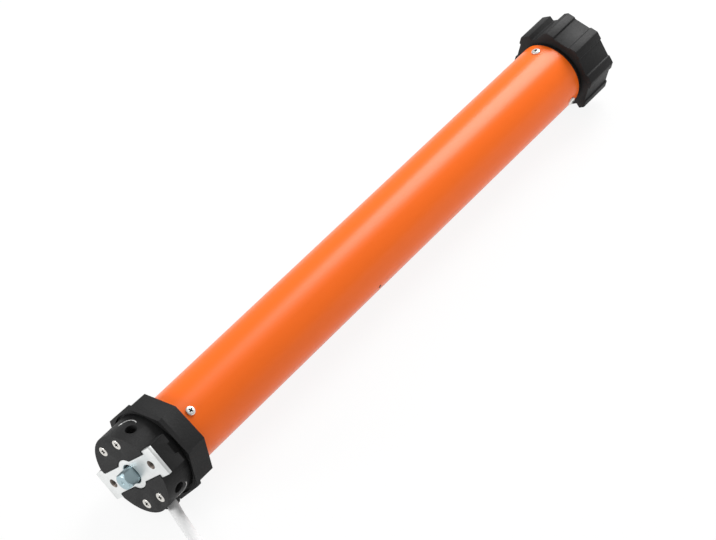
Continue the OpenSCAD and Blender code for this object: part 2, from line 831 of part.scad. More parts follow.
module drive_wheel() {
  rim_in = wheel_af / 2 - wheel_rim_t;
  color("#212122") difference() {
    union() {
      along_x(wheel_x) linear_extrude(wheel_web_t) wheel_outline();
      along_x(wheel_x) linear_extrude(wheel_len) difference() {
        wheel_outline();
        circle(r = rim_in);
      }
      ring(wheel_x, wheel_len - wheel_recess, wheel_hub_r);
      for (i = [0:7]) turned(45 * i) translate([wheel_x + cut, -wheel_rib_t / 2, wheel_hub_r - cut])
        cube([wheel_len - wheel_recess - cut, wheel_rib_t, rim_in - wheel_hub_r + 2 * cut]);
    }
    intersection() {
      ring(wheel_x - cut, wheel_len + 2 * cut, output_d / 2 + seat_gap);
      translate([wheel_x - 2 * cut, -output_d, -output_flats / 2 - seat_gap])
        cube([wheel_len + 4 * cut, 2 * output_d, output_flats + 2 * seat_gap]);
    }
  }
}

module drive_wheel_washer() {
  color("#c5c8ca")
    ring(wheel_end - wheel_recess + seat_gap, washer_t, wheel_hub_r - washer_inset, wheel_screw_r + slip);
}

module drive_wheel_screw() {
  seat = wheel_end - wheel_recess + washer_t + 2 * seat_gap;
  color("#c5c8ca") {
    along_x(seat) cylinder(r = wheel_screw_head_r, h = wheel_screw_head_h, $fn = 6);
    ring(seat - washer_t - wheel_screw_grip, washer_t + wheel_screw_grip + cut, wheel_screw_r);
  }
}

// Cable

// Points a shape drawn along Z the way that the cable leaves the head
module along_exit(back) {
  way = unit(exit_way);
  translate(exit_at - back * way) rotate([0, acos(way[2]), atan2(way[1], way[0])]) children();
}

module grommet_bore() {
  along_exit(grommet_bore_in) cylinder(r = grommet_r + run_gap, h = grommet_bore_in + grommet_in);
}

module cable_grommet() {
  color("#242425") difference() {
    along_exit(grommet_in) cylinder(r1 = grommet_tip_r, r2 = grommet_r, h = grommet_in);
    along_exit(grommet_in + cut) cylinder(r = cable_r + run_gap, h = grommet_in + 2 * cut);
  }
}

// The free stretch runs straight into the coil
module cable() {
  coil_end = coil_path[0] - seat_gap * coil_way(0);
  color("#e9e9ea") swept_tube(concat(cable_route, [coil_end - lead_len * coil_way(0), coil_end]), cable_r, 8);
}

function eased(t) = let (c = min(max(t, 0), 1)) c * c * (3 - 2 * c);
coil_sweep = 360 * coil_turns;
coil_out_r = coil_in_r + coil_pitch * coil_turns / 2;
function coil_point(a) = let (
    back = coil_sweep / 2 - a,
    r = coil_in_r + coil_pitch * abs(back) / 360,
    z = coil_z + coil_pitch * eased(0.5 - back / 180))
  [coil_centre[0] + r * cos(coil_start - a), coil_centre[1] + r * sin(coil_start - a), z];
function coil_way(a) = [sin(coil_start - a), -cos(coil_start - a), 0];
coil_steps = round(coil_turns * loop_rings);
coil_loops = [for (i = [0:coil_steps]) coil_point(coil_sweep * i / coil_steps)];
function tail_point(s) = coil_loops[coil_steps] + s * coil_way(coil_sweep)
  - [0, 0, (coil_z + coil_pitch - cable_r) * eased((s - 3 * lead_len) / (tail_len - 4 * lead_len))];
coil_path = concat(
  [coil_loops[0] - lead_len * coil_way(0)],
  coil_loops,
  [for (i = [1:tail_rings]) tail_point(tail_len * i / tail_rings)]);

// Least gap between loops, measured on points that are at least half a loop apart
coil_gap = min([for (i = [0:len(coil_path) - 1], j = [i + loop_rings / 2:len(coil_path) - 1])
  norm(coil_path[i] - coil_path[j])]) - cable_d;
echo(str("least gap between the cable's loops, mm: ", coil_gap));

module cable_coil() {
  color("#e9e9ea") swept_tube(coil_path, cable_r, 6);
}

module cable_tie() {
  low = coil_in_r - cable_r - tie_gap;
  high = coil_out_r + cable_r + tie_gap;
  top = coil_z + coil_pitch + cable_r + tie_gap;
  color("#202021") translate([coil_centre[0], coil_centre[1], 0]) rotate([0, 0, tie_turn]) difference() {
    translate([low - tie_t, -tie_w / 2, 0]) cube([high - low + 2 * tie_t, tie_w, top + tie_t]);
    translate([low, -tie_w, tie_t]) cube([high - low, 2 * tie_w, top - tie_t]);
  }
}

// Four cores come straight out of the sheath's end, then fan out and come down to the surface
core_corners = [[-1, 1], [1, 1], [-1, -1], [1, -1]];
core_spread = [-13, -2, -7, 4];
core_steps = 6;
function core_point(k, s) = let (
    way = coil_way(coil_sweep),
    side = [-way[1], way[0], 0],
    corner = core_seat * core_corners[k],
    fan = eased((s - core_len / core_steps) / (core_len - core_len / core_steps)))
  tail_point(tail_len) + (seat_gap + s) * way + (corner[0] + core_spread[k] * fan) * side
    + [0, 0, corner[1] * (1 - fan) - (cable_r - core_r_out) * fan];

module core(k, shade) {
  color(shade) swept_tube([for (i = [0:core_steps]) core_point(k, core_len * i / core_steps)], core_r_out, 8);
}

module core_ferrules() {
  color("#c9ccce") for (k = [0:3]) {
    way = unit(core_point(k, core_len) - core_point(k, core_len * (1 - 1 / core_steps)));
    end = core_point(k, core_len) + seat_gap * way;
    translate(end) rotate([0, acos(way[2]), atan2(way[1], way[0])]) cylinder(r = ferrule_r, h = ferrule_len);
  }
}

placed() head_housing();
placed() head_cover();
placed() mounting_plate();
placed() mounting_pin();
placed() face_screws();
placed() limit_adjuster(-1);  // limit_adjuster_up
placed() limit_adjuster(1);  // limit_adjuster_down
placed() limit_pinion();
placed() limit_switch_frame();
placed() microswitches();
placed() crown();
placed() motor_tube();
placed() head_end_screws();
placed() drive_end_screws();
placed() stator_rivet();
placed() capacitor();
placed() capacitor_cradle();
placed() wiring_harness();
placed() motor_bell_head();
placed() motor_bell_drive();
placed() bearing_head();
placed() bearing_drive();
placed() stator_core();
placed() winding_head();
placed() winding_drive();
placed() rotor_core();
placed() rotor_shaft();
placed() brake_coil();
placed() brake_armature();
placed() brake_disc();
placed() brake_back_plate();
placed() gearbox_housing();
placed() planet(0, 0);  // planet_1a
placed() planet(0, 120);  // planet_1b
placed() planet(0, 240);  // planet_1c
placed() carrier(0);  // carrier_1
placed() planet(1, 0);  // planet_2a
placed() planet(1, 120);  // planet_2b
placed() planet(1, 240);  // planet_2c
placed() carrier(1);  // carrier_2
placed() planet(2, 0);  // planet_3a
placed() planet(2, 120);  // planet_3b
placed() planet(2, 240);  // planet_3c
placed() output_shaft();
placed() output_bearing();
placed() gearbox_end_cap();
placed() drive_wheel();
placed() drive_wheel_washer();
placed() drive_wheel_screw();
laid() cable_grommet();
laid() cable();
laid() cable_coil();
laid() cable_tie();
laid() core(0, "#6b3f22");  // core_brown
laid() core(1, "#222222");  // core_black
laid() core(2, "#2f66b5");  // core_blue
laid() core(3, "#b6b92f");  // core_earth
laid() core_ferrules();
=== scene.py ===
# %% [markdown]
# # A tubular roller blind motor
# The motor of a roller blind is a painted steel tube with a round plastic head at one end and an
# octagonal drive wheel at the other. The blind's own tube slides over it and rides on the wheel and on
# the octagonal crown behind the head. The construction comes in as a fixed frame, and this lesson gives
# each visible piece its rounded edges, its small details and its finish.

# %% Load the frame
import json
from math import acos, atan2, cos, degrees, hypot, radians, sin, tan, tau

import bmesh
import bpy
from mathutils import Matrix, Vector

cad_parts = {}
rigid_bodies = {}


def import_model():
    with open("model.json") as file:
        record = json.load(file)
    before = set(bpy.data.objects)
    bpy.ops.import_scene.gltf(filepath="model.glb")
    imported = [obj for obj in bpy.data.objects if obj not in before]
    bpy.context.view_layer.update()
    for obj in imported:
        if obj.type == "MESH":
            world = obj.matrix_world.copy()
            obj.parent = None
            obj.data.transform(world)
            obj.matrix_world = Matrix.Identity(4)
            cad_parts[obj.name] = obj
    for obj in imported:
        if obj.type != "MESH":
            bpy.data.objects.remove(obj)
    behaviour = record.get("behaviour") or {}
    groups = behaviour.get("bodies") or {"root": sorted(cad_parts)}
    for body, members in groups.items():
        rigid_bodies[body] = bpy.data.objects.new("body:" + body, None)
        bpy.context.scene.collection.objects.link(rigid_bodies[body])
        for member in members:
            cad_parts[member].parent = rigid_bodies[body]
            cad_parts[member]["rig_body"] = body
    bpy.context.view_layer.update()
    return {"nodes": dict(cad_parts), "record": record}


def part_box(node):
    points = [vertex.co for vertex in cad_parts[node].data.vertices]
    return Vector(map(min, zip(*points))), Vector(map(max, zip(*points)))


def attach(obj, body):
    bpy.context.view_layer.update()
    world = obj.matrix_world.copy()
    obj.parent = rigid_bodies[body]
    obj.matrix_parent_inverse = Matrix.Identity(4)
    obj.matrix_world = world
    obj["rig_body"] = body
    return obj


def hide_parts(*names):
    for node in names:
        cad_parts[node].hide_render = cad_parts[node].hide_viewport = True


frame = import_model()
nodes = frame["nodes"]
MM = 0.001
print("nodes in the frame:", len(nodes))

# %% [markdown]
# The main places are measured from the frame, and sizes that a box can't give repeat the construction's.
# The motor's axis is level and runs along X, so a node's box gives its two ends and, for a round node, its
# radius. A turn about the axis is counted from straight up, by the right hand about +X, as the
# construction counts it.

# %% Measure the frame
tube_low, tube_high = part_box("motor_tube")
axis_z = (tube_low.z + tube_high.z) / 2
tube_r = (tube_high.z - tube_low.z) / 2
cover_low, cover_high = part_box("head_cover")
face_x = cover_low.x
head_r = (cover_high.y - cover_low.y) / 2
wheel_low, wheel_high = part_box("drive_wheel")
plate_low, plate_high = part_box("mounting_plate")


def on_axis(x, r, turn):
    """The point at that place along the axis, radius and turn in degrees."""
    a = radians(turn)
    return Vector((x, -r * sin(a), axis_z + r * cos(a)))


def axis_turn(turn):
    """The matrix that turns a shape about the motor's axis."""
    centre = Matrix.Translation((0, 0, axis_z))
    return centre @ Matrix.Rotation(radians(turn), 4, "X") @ centre.inverted()


def aimed(at, to):
    """The matrix of a camera or light that stands at one point and faces another."""
    facing = (Vector(to) - Vector(at)).to_track_quat("-Z", "Y").to_matrix().to_4x4()
    return Matrix.Translation(at) @ facing


print("axis height", round(axis_z / MM, 2), "tube radius", round(tube_r / MM, 2))
print("head radius", round(head_r / MM, 2))

# %% [markdown]
# The photograph was taken from above the head's end with a long lens, a little rolled. A camera that
# looks at one point of the tube, and is then rolled about its own line of sight, says that in a few
# values. The lens and the sensor's width are in millimetres.

# %% Set the camera
CAMERA_AT = Vector((-0.8901, -0.8773, 0.9803))
CAMERA_LOOKS_AT = Vector((-0.0174, -0.0065, 0.0300))
CAMERA_ROLL = -12.38
CAMERA_LENS = 130.89
CAMERA_SENSOR = 36.0

camera_data = bpy.data.cameras.new("camera")
camera_data.sensor_fit = "HORIZONTAL"
camera_data.sensor_width = CAMERA_SENSOR
camera_data.lens = CAMERA_LENS
camera = bpy.data.objects.new("camera", camera_data)
bpy.context.scene.collection.objects.link(camera)
roll = Matrix.Rotation(radians(CAMERA_ROLL), 4, "Z")
camera.matrix_world = aimed(CAMERA_AT, CAMERA_LOOKS_AT) @ roll
bpy.context.scene.camera = camera
print("camera distance", round((CAMERA_LOOKS_AT - CAMERA_AT).length, 3))

# %% [markdown]
# The mains cable leaves the head low on one side, comes down to the surface and runs out of the picture.
# What the photograph doesn't show is put away in a tied coil. The route repeats the construction's points,
# in millimetres, and the coil's turns come from a loop: it spirals in, climbs one layer where it turns
# back, and spirals out. A Bezier curve with automatic handles makes one smooth line of all of it.

# %% Lay the cable
CABLE_D = 7 * MM
ROUTE = (
    (-211.2, -16.8, 8.8), (-215.4, -25.4, 5.8), (-218.3, -32, 4.4), (-221.6, -39, 3.6), (-226, -48, 3.5),
    (-232.4, -57.7, 3.5), (-240.8, -65.7, 3.5), (-250.8, -71.6, 3.5), (-261.9, -75.1, 3.5), (-272, -76, 3.6),
    (-288, -76, 4.1),
)
COIL_CENTRE = (-316 * MM, -24.5 * MM)
COIL_TURNS = 6
COIL_START = -90
COIL_IN_R = 29 * MM
COIL_PITCH = CABLE_D + 0.5 * MM
COIL_Z = CABLE_D / 2 + 0.9 * MM
LOOP_STEPS = 24
LEAD_LEN = CABLE_D
TAIL_LEN = 56 * MM
TAIL_STEPS = 8
TAIL_LEVEL = 3 * LEAD_LEN
TAIL_FALL = TAIL_LEN - 4 * LEAD_LEN
CORD_ROUNDNESS = 5
CORD_SMOOTHNESS = 4
coil_sweep = 360 * COIL_TURNS


def eased(t):
    """Goes from 0 to 1, level at both ends."""
    t = min(max(t, 0.0), 1.0)
    return t * t * (3 - 2 * t)


def coil_point(a):
    """The cable's middle, that many degrees along the coil."""
    back = coil_sweep / 2 - a
    r = COIL_IN_R + COIL_PITCH * abs(back) / 360
    z = COIL_Z + COIL_PITCH * eased(0.5 - back / 180)
    turn = radians(COIL_START - a)
    return Vector((COIL_CENTRE[0] + r * cos(turn), COIL_CENTRE[1] + r * sin(turn), z))


def coil_way(a):
    """The direction in which the cable runs there."""
    turn = radians(COIL_START - a)
    return Vector((sin(turn), -cos(turn), 0))


def tail_point(s):
    """The cable's middle, that far beyond the coil."""
    drop = COIL_Z + COIL_PITCH - CABLE_D / 2
    fall = eased((s - TAIL_LEVEL) / TAIL_FALL)
    return coil_point(coil_sweep) + s * coil_way(coil_sweep) - Vector((0, 0, drop * fall))


def laid_curve(name, points, diameter):
    """A round cord along the points. Its thickness is each point's radius, which the curve's box counts."""
    data = bpy.data.curves.new(name, "CURVE")
    data.dimensions = "3D"
    data.bevel_depth = 1.0
    data.bevel_resolution = CORD_ROUNDNESS
    data.resolution_u = CORD_SMOOTHNESS
    data.use_fill_caps = True
    spline = data.splines.new("BEZIER")
    spline.bezier_points.add(len(points) - 1)
    for point, place in zip(spline.bezier_points, points):
        point.co = place
        point.radius = diameter / 2
        point.handle_left_type = "AUTO"
        point.handle_right_type = "AUTO"
    piece = bpy.data.objects.new(name, data)
    bpy.context.scene.collection.objects.link(piece)
    return piece


coil_steps = COIL_TURNS * LOOP_STEPS
cable_points = [MM * Vector(p) for p in ROUTE]
cable_points += [coil_point(0) - k * LEAD_LEN * coil_way(0) for k in (2, 1)]
cable_points += [coil_point(coil_sweep * i / coil_steps) for i in range(coil_steps + 1)]
cable_points += [tail_point(TAIL_LEN * i / TAIL_STEPS) for i in range(1, TAIL_STEPS + 1)]
cable = laid_curve("mains_cable", cable_points, CABLE_D)
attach(cable, "motor")
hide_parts("cable", "cable_coil")
print("cable points", len(cable_points))

# %% [markdown]
# At its far end the sheath is stripped, and four cores fan out with a crimped ferrule on each, ready for a
# terminal block. Each core is a thin cord of its own, and goes with the cable.

# %% Fan out the cores
CORE_D = 2.3 * MM
CORE_LEN = 36 * MM
CORE_SEAT = 1.5 * MM
CORE_STEPS = 6
CORE_INSIDE = 1.0 * MM
CORES = {
    "core_brown": ((-1, 1), -13 * MM, "brown_core"),
    "core_black": ((1, 1), -2 * MM, "black_core"),
    "core_blue": ((-1, -1), -7 * MM, "blue_core"),
    "core_earth": ((1, -1), 4 * MM, "earth_core"),
}
core_step = CORE_LEN / CORE_STEPS


def core_point(corner, spread, s):
    """A core's middle, that far beyond the sheath. It starts at a corner and fans out."""
    way = coil_way(coil_sweep)
    side = Vector((-way.y, way.x, 0))
    fan = eased((s - core_step) / (CORE_LEN - core_step))
    height = CORE_SEAT * corner[1] * (1 - fan) - (CABLE_D - CORE_D) / 2 * fan
    across = (CORE_SEAT * corner[0] + spread * fan) * side
    return tail_point(TAIL_LEN) + s * way + across + Vector((0, 0, height))


core_pieces = {}
for node, (corner, spread, core_slot) in CORES.items():
    stretch = [core_point(corner, spread, CORE_LEN * i / CORE_STEPS) for i in range(CORE_STEPS + 1)]
    stretch.insert(0, core_point(corner, spread, -CORE_INSIDE))
    core_pieces[node] = laid_curve(node + "_lead", stretch, CORE_D)
    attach(core_pieces[node], "motor")
    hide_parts(node)
print("cores", len(core_pieces))

# %% [markdown]
# Finishes are node materials. Writing shader maths as Python keeps them readable: a small class wraps a
# socket, and `a + b` or `mask > 0.5` adds the Math nodes. One method adds any other node.

# %% Tools for finishes
NOISE_ROUGHNESS = 0.6


class Value:
    """A socket that takes part in Python arithmetic."""

    def __init__(self, finish, socket):
        self.finish = finish
        self.socket = socket

    def math(self, operation, a, b):
        made = self.finish.node("ShaderNodeMath", {0: a, 1: b}, operation=operation)
        return Value(self.finish, made.outputs[0])

    def __add__(self, other):
        return self.math("ADD", self, other)

    def __sub__(self, other):
        return self.math("SUBTRACT", self, other)

    def __mul__(self, other):
        return self.math("MULTIPLY", self, other)

    def __gt__(self, other):
        return self.math("GREATER_THAN", self, other)


class Finish:
    """One material, with its Principled shader and what feeds it."""

    def __init__(self, name, colour, roughness, metallic=0.0, **sockets):
        self.material = bpy.data.materials.new(name)
        self.material.use_nodes = True
        self.tree = self.material.node_tree
        self.shader = self.tree.nodes["Principled BSDF"]
        self.colour = (*colour, 1.0)
        self.feed("Base Color", self.colour)
        self.feed("Roughness", roughness)
        self.feed("Metallic", metallic)
        for socket, value in sockets.items():
            self.feed(socket.replace("_", " ").title().replace("Ior", "IOR"), value)

    def node(self, kind, inputs=None, **settings):
        """Adds a node, sets it up and links or fills its inputs."""
        made = self.tree.nodes.new(kind)
        for key, value in settings.items():
            setattr(made, key, value)
        for key, value in (inputs or {}).items():
            self.link(made.inputs[key], value)
        return made

    def link(self, socket, value):
        if isinstance(value, Value):
            self.tree.links.new(value.socket, socket)
        else:
            socket.default_value = value

    def feed(self, socket, value):
        self.link(self.shader.inputs[socket], value)

    def place(self, stretch):
        """Object coordinates in metres, measured from the motor's axis, stretched for streaks."""
        spot = Value(self, self.node("ShaderNodeTexCoord").outputs["Object"])
        inputs = {"Vector": spot, "Location": (0, 0, -axis_z * stretch[2]), "Scale": stretch}
        return Value(self, self.node("ShaderNodeMapping", inputs).outputs[0])

    def noise(self, size, detail, stretch=(1, 1, 1)):
        """Smooth noise whose spots are about that size, in metres."""
        inputs = {"Scale": 1 / size, "Detail": detail, "Roughness": NOISE_ROUGHNESS}
        inputs["Vector"] = self.place(stretch)
        return Value(self, self.node("ShaderNodeTexNoise", inputs).outputs["Fac"])

    def ramp(self, value, low, high):
        """Rises from 0 at low to 1 at high."""
        inputs = {"Value": value, "From Min": low, "From Max": high}
        return Value(self, self.node("ShaderNodeMapRange", inputs).outputs[0])

    def mix(self, factor, a, b):
        inputs = {0: factor, 6: a, 7: b}
        return Value(self, self.node("ShaderNodeMix", inputs, data_type="RGBA").outputs[2])

    def shades(self, mask, dark, light):
        """Base colour that goes from dark to light times the finish's own."""
        low = (*(c * dark for c in self.colour[:3]), 1)
        high = (*(min(c * light, 1) for c in self.colour[:3]), 1)
        self.feed("Base Color", self.mix(mask, low, high))

    def bump(self, height, depth, strength):
        """Small relief of that depth, in metres."""
        inputs = {"Height": height, "Distance": depth, "Strength": strength}
        self.feed("Normal", Value(self, self.node("ShaderNodeBump", inputs).outputs[0]))


print("finish tools ready")

# %% [markdown]
# ## Finishes that show
# The head, crown and wheel are moulded in black glass-filled nylon: nearly matt, with a fine spark-eroded
# grain from the mould and faint flow marks. The grain is too fine to model, so it goes into the bump, and
# the flow marks change the roughness, because that is where they show on the real part.

# %% Moulded plastics
PEBBLE_SIZE = 1.2 * MM
FLOW_SIZE = 9 * MM
FLOW_STRETCH = (0.4, 1, 1)
SCUFF_SIZE = 2.5 * MM
MOULDED_GLOSS = 0.2


def moulded(name, colour, roughness=0.5, grain=0.35 * MM, depth=0.03 * MM, scuffs=0.25):
    """A moulded plastic with grain, flow marks and a few scuffs."""
    finish = Finish(name, colour, roughness, specular_ior_level=MOULDED_GLOSS)
    fine = finish.noise(grain, 3.0)
    pebble = finish.noise(PEBBLE_SIZE, 2.0)
    flow = finish.noise(FLOW_SIZE, 2.0, FLOW_STRETCH)
    rubbed = finish.ramp(finish.noise(SCUFF_SIZE, 4.0), 0.62, 0.78)
    finish.shades(flow * 0.6 + fine * 0.4 + rubbed * scuffs, 0.7, 1.35)
    finish.feed("Roughness", flow * 0.16 + pebble * 0.16 + (roughness - 0.16) - rubbed * 0.06)
    finish.bump(fine * 0.5 + pebble, depth, 0.6)
    return finish.material


finishes = {
    "black_plastic": moulded("moulded_black_nylon", (0.013, 0.013, 0.0132), 0.54, depth=0.2 * MM),
    "adjuster_plastic": moulded("adjuster_black_acetal", (0.010, 0.010, 0.010), 0.36, depth=0.01 * MM),
    "switch_plastic": moulded("switch_grey_moulding", (0.05, 0.05, 0.055)),
    "switch_frame_plastic": moulded("switch_frame_moulding", (0.74, 0.72, 0.65), 0.5, scuffs=0.05),
    "gear_nylon": moulded("natural_nylon", (0.80, 0.77, 0.66), 0.38, depth=0.01 * MM, scuffs=0.05),
    "tie_plastic": moulded("tie_black_nylon", (0.014, 0.014, 0.014), 0.42, depth=0.01 * MM),
    "grommet_rubber": moulded("grommet_black_rubber", (0.012, 0.012, 0.012), 0.62),
    "friction_lining": moulded("brake_lining", (0.11, 0.09, 0.08), 0.8, grain=0.8 * MM),
    "white_print": moulded("white_pad_print", (0.70, 0.70, 0.69), 0.5, depth=0.01 * MM, scuffs=0.1),
}
print("moulded plastics", len(finishes))

# %% [markdown]
# The tube is powder coated. The coat flows out into a faint orange peel, a millimetre or two from ripple to
# ripple, under a soft clear gloss, and handling leaves barely visible rubs along its length.

# %% Orange powder coat
PEEL_SIZE = 1.6 * MM
PEEL_DEPTH = 0.02 * MM
SWEEP_SIZE = 34 * MM
RUB_SIZE = 1.4 * MM

coat = Finish(
    "orange_powder_coat", (0.93, 0.150, 0.009), 0.36,
    specular_ior_level=0.1, coat_weight=0.33, coat_roughness=0.26,
)
peel = coat.noise(PEEL_SIZE, 2.0)
sweep = coat.noise(SWEEP_SIZE, 2.0, (0.3, 1, 1))
rubs = coat.ramp(coat.noise(RUB_SIZE, 4.0, (0.04, 1, 1)), 0.66, 0.8)
coat.shades(sweep * 0.8 + peel * 0.2, 0.95, 1.05)
coat.feed("Roughness", sweep * 0.08 + rubs * 0.08 + 0.32)
coat.bump(peel, PEEL_DEPTH, 0.5)
finishes["orange_paint"] = coat.material
print("nodes of the orange coat", len(coat.tree.nodes))

# %% [markdown]
# Zinc plating is bluish white and slightly cloudy. The stamped plate keeps the streaks of the rolled sheet,
# the pin keeps its tool marks, and screws are tumbled bright. All of them are metals, so their colour is
# the colour of what they reflect, and roughness carries the detail.

# %% Plated metals
CLOUD_SIZE = 6 * MM
ACROSS_X = (1, 0.05, 0.05)
ALONG_X = (0.05, 1, 1)


def plated(name, colour, roughness, streak=(1, 1, 1), grain=0.5 * MM, depth=0.01 * MM):
    """A bare or plated metal with streaks and faint clouds."""
    finish = Finish(name, colour, roughness, 1.0)
    lines = finish.noise(grain, 3.0, streak)
    cloudy = finish.noise(CLOUD_SIZE, 3.0)
    finish.shades(cloudy * 0.7 + lines * 0.3, 0.86, 1.1)
    finish.feed("Roughness", cloudy * 0.18 + lines * 0.10 + (roughness - 0.14))
    finish.bump(lines, depth, 0.4)
    return finish.material


finishes.update({
    "zinc_plate": plated("zinc_plated_sheet", (0.85, 0.865, 0.86), 0.46, (1, 0.08, 1)),
    "pin_steel": plated("zinc_plated_pin", (0.44, 0.57, 0.61), 0.44, ACROSS_X, 0.4 * MM),
    "face_screw_steel": plated("plated_face_screws", (0.72, 0.70, 0.66), 0.34),
    "tube_screw_steel": plated("bright_tube_screws", (0.86, 0.85, 0.82), 0.36),
    "rivet_steel": plated("darkened_rivet", (0.10, 0.06, 0.04), 0.5),
    "capacitor_can": plated("drawn_aluminium_can", (0.68, 0.69, 0.70), 0.3, ALONG_X),
    "bell_alloy": plated("cast_alloy", (0.55, 0.56, 0.57), 0.5, grain=0.3 * MM, depth=0.03 * MM),
    "bearing_steel": plated("ground_steel", (0.66, 0.67, 0.68), 0.2, ACROSS_X),
    "lamination_steel": plated("stacked_laminations", (0.32, 0.33, 0.35), 0.45, ACROSS_X, depth=0.04 * MM),
    "copper_winding": plated("enamelled_copper", (0.60, 0.24, 0.08), 0.3, ACROSS_X, 0.8 * MM, 0.2 * MM),
    "brake_steel": plated("ground_brake_steel", (0.48, 0.49, 0.50), 0.35, ACROSS_X),
    "gearbox_steel": plated("oiled_sintered_steel", (0.16, 0.165, 0.17), 0.45),
    "carrier_steel": plated("sintered_carrier_steel", (0.42, 0.43, 0.44), 0.42),
    "bearing_bronze": plated("sintered_bronze", (0.58, 0.38, 0.14), 0.45),
    "ferrule_tin": plated("tinned_ferrule", (0.70, 0.71, 0.71), 0.3),
    # A steel colour darker than the plate, for the walls of the tapped holes.
    "darker_thread": plated("darker_steel_thread", (0.20, 0.17, 0.15), 0.5),
    # Painted shade: a near-black metal for the inside of the screws' cross recesses.
    "recess_painted_shade": plated("painted_shade_screw_recess", (0.05, 0.048, 0.045), 0.6),
})
print("finishes so far", len(finishes))

# %% [markdown]
# The cable's sheath and the cores are extruded plastic: smooth, a little waxy, with a faint waviness along
# the cord. The earth core is yellow and green, so a noise that changes mostly with height splits its colour.

# %% Extruded cord finishes
WAVE_SIZE = 6 * MM
WAVE_DEPTH = 0.08 * MM
DUST_SIZE = 1.2 * MM
STRIPE_SIZE = 2.2 * MM
CORD_ROUGHNESS = 0.42
EARTH_YELLOW = (0.62, 0.55, 0.03)
EARTH_GREEN = (0.05, 0.26, 0.06)


def extruded(name, colour):
    """The plastic of a cord, with faint waves along it and a little dust."""
    finish = Finish(name, colour, CORD_ROUGHNESS, specular_ior_level=0.4)
    waves = finish.noise(WAVE_SIZE, 2.0)
    dust = finish.noise(DUST_SIZE, 4.0)
    finish.shades(waves * 0.7 + dust * 0.3, 0.95, 1.04)
    finish.feed("Roughness", waves * 0.12 + (CORD_ROUGHNESS - 0.06))
    finish.bump(waves, WAVE_DEPTH, 0.25)
    return finish


finishes.update({
    "cable_sheath": extruded("white_sheath", (0.82, 0.82, 0.82)).material,
    "harness_insulation": extruded("blue_sleeve", (0.04, 0.13, 0.42)).material,
    "brown_core": extruded("brown_insulation", (0.15, 0.05, 0.02)).material,
    "black_core": extruded("black_insulation", (0.02, 0.02, 0.02)).material,
    "blue_core": extruded("blue_insulation", (0.03, 0.14, 0.45)).material,
})
earth = extruded("earth_insulation", EARTH_YELLOW)
stripe = earth.noise(STRIPE_SIZE, 0.0, (0.1, 0.1, 1)) > 0.5
earth.feed("Base Color", earth.mix(stripe, (*EARTH_YELLOW, 1), (*EARTH_GREEN, 1)))
finishes["earth_core"] = earth.material


def slot_of(node):
    """The material slot that the record gives a node."""
    return next(s["material_slot"] for s in frame["record"]["subparts"] if s["node"] == node)


def dress(piece, slot):
    """Gives a piece the finish of a slot."""
    if piece.data.materials:
        piece.data.materials.clear()
    piece.data.materials.append(finishes[slot])
    return piece


for node, piece in nodes.items():
    dress(piece, slot_of(node))
dress(cable, "cable_sheath")
for node, (_, _, core_slot) in CORES.items():
    dress(core_pieces[node], core_slot)
print("dressed nodes", len(nodes))

# %% [markdown]
# ## Modelling tools
# Real edges catch light, and a construction model's don't, because they have no radius. A turned piece is a
# profile spun about an axis. An octagonal piece is extruded and bevelled. Where a piece is cut by many
# holes, a copy of the frame's mesh is merged, and a Bevel modifier rounds what is sharper than an angle.

# %% Modelling tools
RECORD_SLOTS = {m["slot"] for m in frame["record"]["materials"]}
SPIN_STEPS = 128
ROUND_STEPS = 2
WELD = 0.001 * MM
SLIVER = 0.002 * MM
SHARP_ANGLE = radians(32)
FLAT_ANGLE = radians(0.4)


def finished(name, bm, slot, body, *stands_for):
    """Makes a piece of a bmesh, smooth where it is nearly flat, that rides on a body."""
    bmesh.ops.recalc_face_normals(bm, faces=bm.faces)
    mesh = bpy.data.meshes.new(name)
    bm.to_mesh(mesh)
    bm.free()
    mesh.shade_smooth()
    mesh.set_sharp_from_angle(angle=SHARP_ANGLE)
    piece = bpy.data.objects.new(name, mesh)
    bpy.context.scene.collection.objects.link(piece)
    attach(piece, body)
    slot in RECORD_SLOTS
    if stands_for:
        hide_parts(*stands_for)
    return dress(piece, slot)


def spun(profile, steps=SPIN_STEPS):
    """A profile of (along, radius) points, spun about Z. It starts and ends on the axis, or is closed."""
    bm = bmesh.new()
    verts = [bm.verts.new((r, 0, along)) for along, r in profile]
    edges = [bm.edges.new((a, b)) for a, b in zip(verts, verts[1:])]
    if profile[0][1] > 0:
        edges.append(bm.edges.new((verts[-1], verts[0])))
    bmesh.ops.spin(
        bm, geom=verts + edges, cent=(0, 0, 0), axis=(0, 0, 1), angle=tau, steps=steps, use_merge=True)
    bmesh.ops.remove_doubles(bm, verts=bm.verts, dist=WELD)
    bmesh.ops.dissolve_degenerate(bm, edges=bm.edges, dist=WELD)
    bmesh.ops.recalc_face_normals(bm, faces=bm.faces)
    return bm


def prism(outline, push):
    """A flat outline of points, extruded by a vector."""
    bm = bmesh.new()
    face = bm.faces.new([bm.verts.new(p) for p in outline])
    pushed = bmesh.ops.extrude_face_region(bm, geom=[face])["geom"]
    bmesh.ops.translate(bm, verts=[e for e in pushed if isinstance(e, bmesh.types.BMVert)], vec=push)
    bmesh.ops.recalc_face_normals(bm, faces=bm.faces)
    return bm


def block(low, high):
    """A box between two corners."""
    bm = bmesh.new()
    bmesh.ops.create_cube(bm, size=1)
    size = Vector(high) - Vector(low)
    middle = (Vector(high) + Vector(low)) / 2
    bmesh.ops.scale(bm, verts=bm.verts, vec=size)
    bmesh.ops.translate(bm, verts=bm.verts, vec=middle)
    return bm


def bevelled(bm, width):
    """Rounds every edge that turns more than the sharp angle."""
    edges = [e for e in bm.edges if e.is_manifold and e.calc_face_angle() > SHARP_ANGLE]
    bmesh.ops.bevel(
        bm, geom=edges, offset=width, affect="EDGES", segments=ROUND_STEPS, profile=0.5, material=-1)
    return bm


def placed(bm, matrix):
    """Moves a shape by a matrix."""
    bmesh.ops.transform(bm, matrix=matrix, verts=bm.verts)
    return bm


